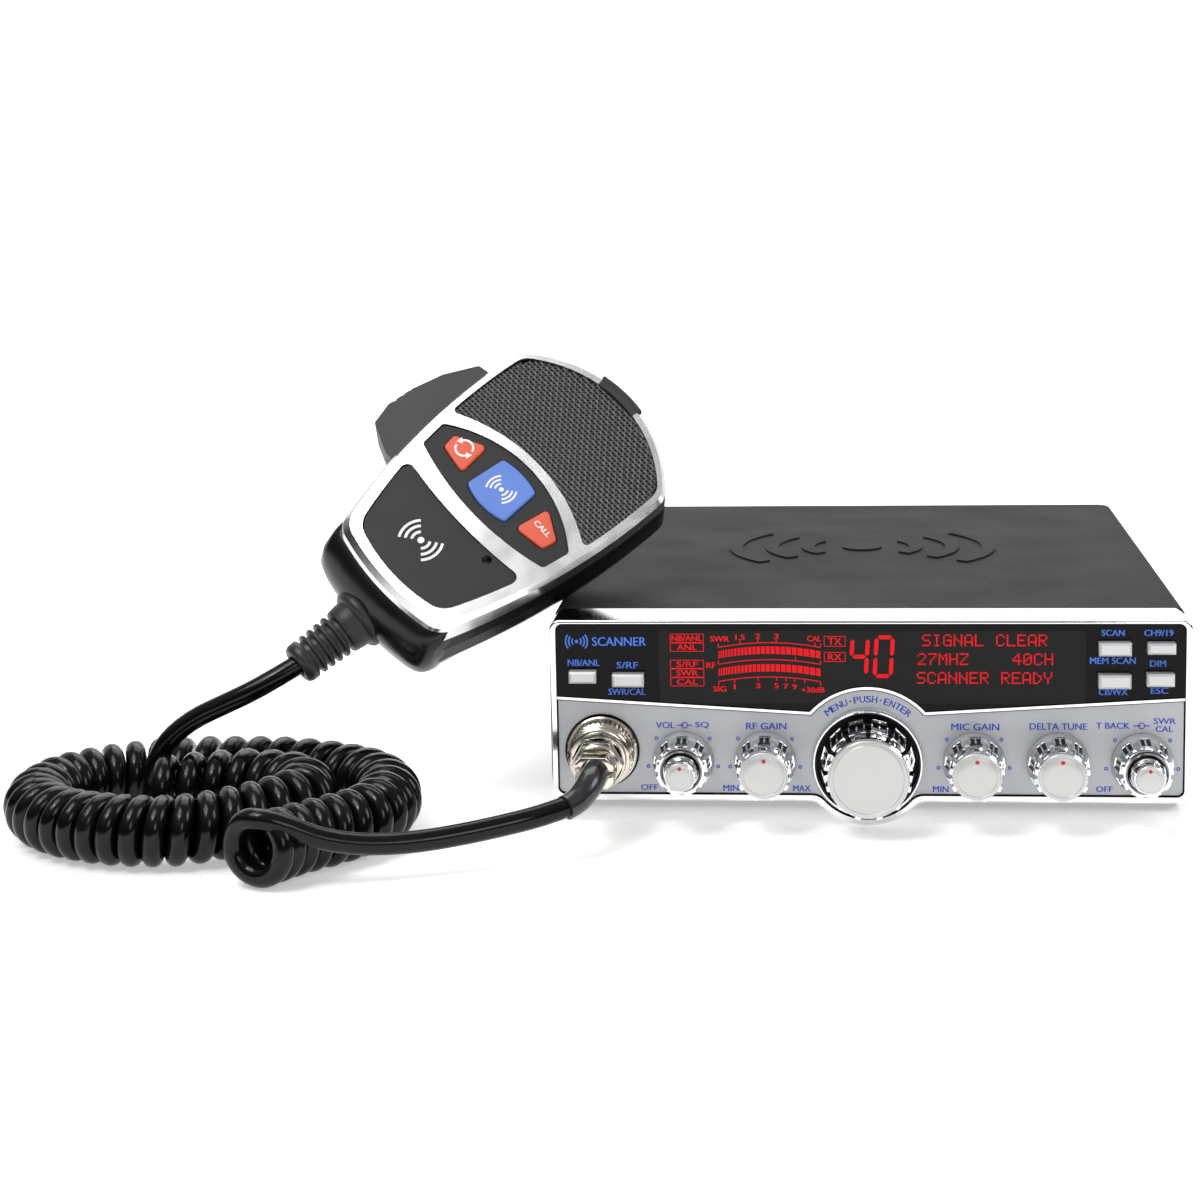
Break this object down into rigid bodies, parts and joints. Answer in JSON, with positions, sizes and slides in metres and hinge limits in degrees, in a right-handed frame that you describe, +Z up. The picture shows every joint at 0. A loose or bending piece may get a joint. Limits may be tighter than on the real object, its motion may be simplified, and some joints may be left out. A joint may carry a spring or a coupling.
{
  "type": "police scanner radio",
  "caption": "Flat mobile two-way radio with display, knobs and push buttons, and a hand microphone on a curly cord hung on its side clip.",
  "frame": {"origin": "on the surface the radio stands on, under the middle of its case's underside", "axes": "+X to the user's right, out of the right bracket hole; +Y to the rear, out of the antenna socket; +Z up"},
  "size_m": [0.3444, 0.2997, 0.1332],
  "materials": {
    "case_paint": "fine textured charcoal powder coat",
    "bezel_chrome": "bright chrome on plastic",
    "window_gloss": "black gloss with printed legends",
    "panel_silver": "satin silver with blue legends",
    "display_dark": "dark display with red segments",
    "black_plastic": "fine matte",
    "board_green": "circuit board",
    "steel_plate": "zinc plated",
    "heat_sink": "black anodised",
    "nickel": "nickel plate",
    "screw_steel": "dark zinc",
    "knob_satin": "satin silver cap on a chrome skirt",
    "button_silver": "satin silver",
    "mic_shell": "black gloss",
    "mic_chrome": "bright silver",
    "mic_mesh": "woven black wire",
    "mic_panel": "dark grey satin",
    "lever_grey": "dark grey satin",
    "button_red": "red rubber with a white mark",
    "button_blue": "blue rubber with a white mark",
    "cord_black": "glossy black",
    "speaker_paper": "speaker cone"
  },
  "bodies": {
    "radio": {"top_cover": "case_paint", "bottom_cover": "case_paint", "front_bezel": "bezel_chrome", "display_window": "window_gloss", "divider_trim": "bezel_chrome", "face_panel": "panel_silver", "panel_carrier": "black_plastic", "display_module": "display_dark", "front_board": "board_green", "main_board": "board_green", "chassis_frame": "steel_plate", "rear_heat_sink": "heat_sink", "speaker": "speaker_paper", "antenna_socket": "nickel", "power_socket": "black_plastic", "speaker_jacks": "black_plastic", "case_screws": "screw_steel", "side_inserts": "steel_plate", "knob_ring": "bezel_chrome", "potentiometers": "steel_plate", "channel_encoder": "steel_plate", "mic_socket": "nickel", "mic_plug": "nickel", "plug_sleeve": "cord_black", "mic_hanger": "steel_plate", "hanger_screws": "screw_steel", "cord_tail": "cord_black", "curly_cord": "cord_black", "cord_lead": "cord_black"},
    "microphone": {"mic_back_shell": "mic_shell", "mic_front_frame": "mic_chrome", "mic_grille": "mic_mesh", "mic_button_panel": "mic_panel", "mic_lower_panel": "mic_panel", "mic_board": "board_green", "mic_speaker": "speaker_paper", "mic_capsule": "steel_plate", "hang_button": "steel_plate", "mic_screws": "screw_steel", "cord_boot": "cord_black", "talk_lever_pin": "steel_plate"},
    "talk_lever": {"talk_lever": "lever_grey"},
    "channel_shaft": {"channel_shaft": "steel_plate"},
    "channel_knob": {"channel_knob": "knob_satin"},
    "volume_knob": {"volume_knob": "knob_satin"},
    "squelch_knob": {"squelch_knob": "knob_satin"},
    "rf_gain_knob": {"rf_gain_knob": "knob_satin"},
    "mic_gain_knob": {"mic_gain_knob": "knob_satin"},
    "delta_tune_knob": {"delta_tune_knob": "knob_satin"},
    "talkback_knob": {"talkback_knob": "knob_satin"},
    "swr_cal_knob": {"swr_cal_knob": "knob_satin"},
    "noise_button": {"noise_button": "button_silver"},
    "meter_button": {"meter_button": "button_silver"},
    "scan_button": {"scan_button": "button_silver"},
    "priority_button": {"priority_button": "button_silver"},
    "band_button": {"band_button": "button_silver"},
    "dim_button": {"dim_button": "button_silver"},
    "mic_left_button": {"mic_left_button": "button_red"},
    "mic_middle_button": {"mic_middle_button": "button_blue"},
    "mic_right_button": {"mic_right_button": "button_red"}
  },
  "joints": [
    {"name": "volume_turn", "type": "hinge", "parent": "radio", "child": "volume_knob", "pos_m": [-0.0534, -0.1064, 0.0189], "axis": [0, 1, 0], "range_deg": [-150, 150]},
    {"name": "squelch_turn", "type": "hinge", "parent": "radio", "child": "squelch_knob", "pos_m": [-0.0534, -0.1064, 0.0189], "axis": [0, 1, 0], "range_deg": [-150, 150]},
    {"name": "rf_gain_turn", "type": "hinge", "parent": "radio", "child": "rf_gain_knob", "pos_m": [-0.0296, -0.1064, 0.0189], "axis": [0, 1, 0], "range_deg": [-150, 150]},
    {"name": "mic_gain_turn", "type": "hinge", "parent": "radio", "child": "mic_gain_knob", "pos_m": [0.0305, -0.1064, 0.0189], "axis": [0, 1, 0], "range_deg": [-150, 150]},
    {"name": "delta_tune_turn", "type": "hinge", "parent": "radio", "child": "delta_tune_knob", "pos_m": [0.0543, -0.1064, 0.0189], "axis": [0, 1, 0], "range_deg": [-150, 150]},
    {"name": "talkback_turn", "type": "hinge", "parent": "radio", "child": "talkback_knob", "pos_m": [0.0782, -0.1064, 0.0189], "axis": [0, 1, 0], "range_deg": [-150, 150]},
    {"name": "swr_cal_turn", "type": "hinge", "parent": "radio", "child": "swr_cal_knob", "pos_m": [0.0782, -0.1064, 0.0189], "axis": [0, 1, 0], "range_deg": [-150, 150]},
    {"name": "channel_push", "type": "slide", "parent": "radio", "child": "channel_shaft", "axis": [0, 1, 0], "range_m": [0, 0.0006], "stiffness_N_per_m": 2500},
    {"name": "channel_turn", "type": "hinge", "parent": "channel_shaft", "child": "channel_knob", "pos_m": [0, -0.1064, 0.0189], "axis": [0, 1, 0], "continuous": true},
    {"name": "noise_press", "type": "slide", "parent": "radio", "child": "noise_button", "axis": [0, 1, 0], "range_m": [0, 0.0008], "stiffness_N_per_m": 1500},
    {"name": "meter_press", "type": "slide", "parent": "radio", "child": "meter_button", "axis": [0, 1, 0], "range_m": [0, 0.0008], "stiffness_N_per_m": 1500},
    {"name": "scan_press", "type": "slide", "parent": "radio", "child": "scan_button", "axis": [0, 1, 0], "range_m": [0, 0.0008], "stiffness_N_per_m": 1500},
    {"name": "priority_press", "type": "slide", "parent": "radio", "child": "priority_button", "axis": [0, 1, 0], "range_m": [0, 0.0008], "stiffness_N_per_m": 1500},
    {"name": "band_press", "type": "slide", "parent": "radio", "child": "band_button", "axis": [0, 1, 0], "range_m": [0, 0.0008], "stiffness_N_per_m": 1500},
    {"name": "dim_press", "type": "slide", "parent": "radio", "child": "dim_button", "axis": [0, 1, 0], "range_m": [0, 0.0008], "stiffness_N_per_m": 1500},
    {"name": "mic_lift", "type": "slide", "parent": "radio", "child": "microphone", "axis": [-0.0614, 0.5941, 0.8021], "range_m": [0, 0.022]},
    {"name": "talk_press", "type": "hinge", "parent": "microphone", "child": "talk_lever", "pos_m": [-0.11324, -0.04469, 0.1188], "axis": [0.0816, -0.7979, 0.5972], "range_deg": [0, 5], "stiffness_Nm_per_rad": 1.2},
    {"name": "mic_left_press", "type": "slide", "parent": "microphone", "child": "mic_left_button", "axis": [-0.0816, 0.7979, -0.5972], "range_m": [0, 0.0006], "stiffness_N_per_m": 1000},
    {"name": "mic_middle_press", "type": "slide", "parent": "microphone", "child": "mic_middle_button", "axis": [-0.0816, 0.7979, -0.5972], "range_m": [0, 0.0006], "stiffness_N_per_m": 1000},
    {"name": "mic_right_press", "type": "slide", "parent": "microphone", "child": "mic_right_button", "axis": [-0.0816, 0.7979, -0.5972], "range_m": [0, 0.0006], "stiffness_N_per_m": 1000}
  ]
}
